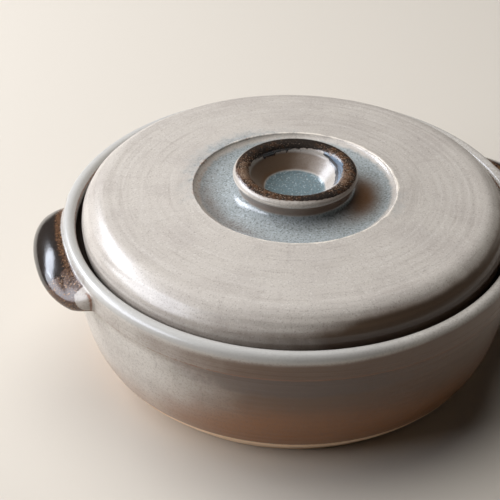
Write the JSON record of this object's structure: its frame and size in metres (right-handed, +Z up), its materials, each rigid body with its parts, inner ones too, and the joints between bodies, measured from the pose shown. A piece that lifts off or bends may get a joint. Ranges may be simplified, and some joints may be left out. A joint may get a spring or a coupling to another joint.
{
  "type": "lidded clay pot",
  "caption": "Round clay pot for the hob and the table, with a collared rim, lug handles and a domed lid that drops in and lifts by a hollow ring knob.",
  "frame": {"origin": "centre of the pot's foot, on the surface that it stands on", "axes": "+Z up along the pot's axis, X through the two lug handles"},
  "size_m": [0.293, 0.26, 0.118],
  "materials": {
    "pot_glaze": "satin ash-grey glaze, brown where it thins, iron black on the lugs",
    "lid_glaze": "satin ash-grey glaze, blue-grey where it pools, iron black on the knob's lip"
  },
  "bodies": {
    "root": {"pot": "pot_glaze", "lid": "lid_glaze"}
  },
  "joints": []
}
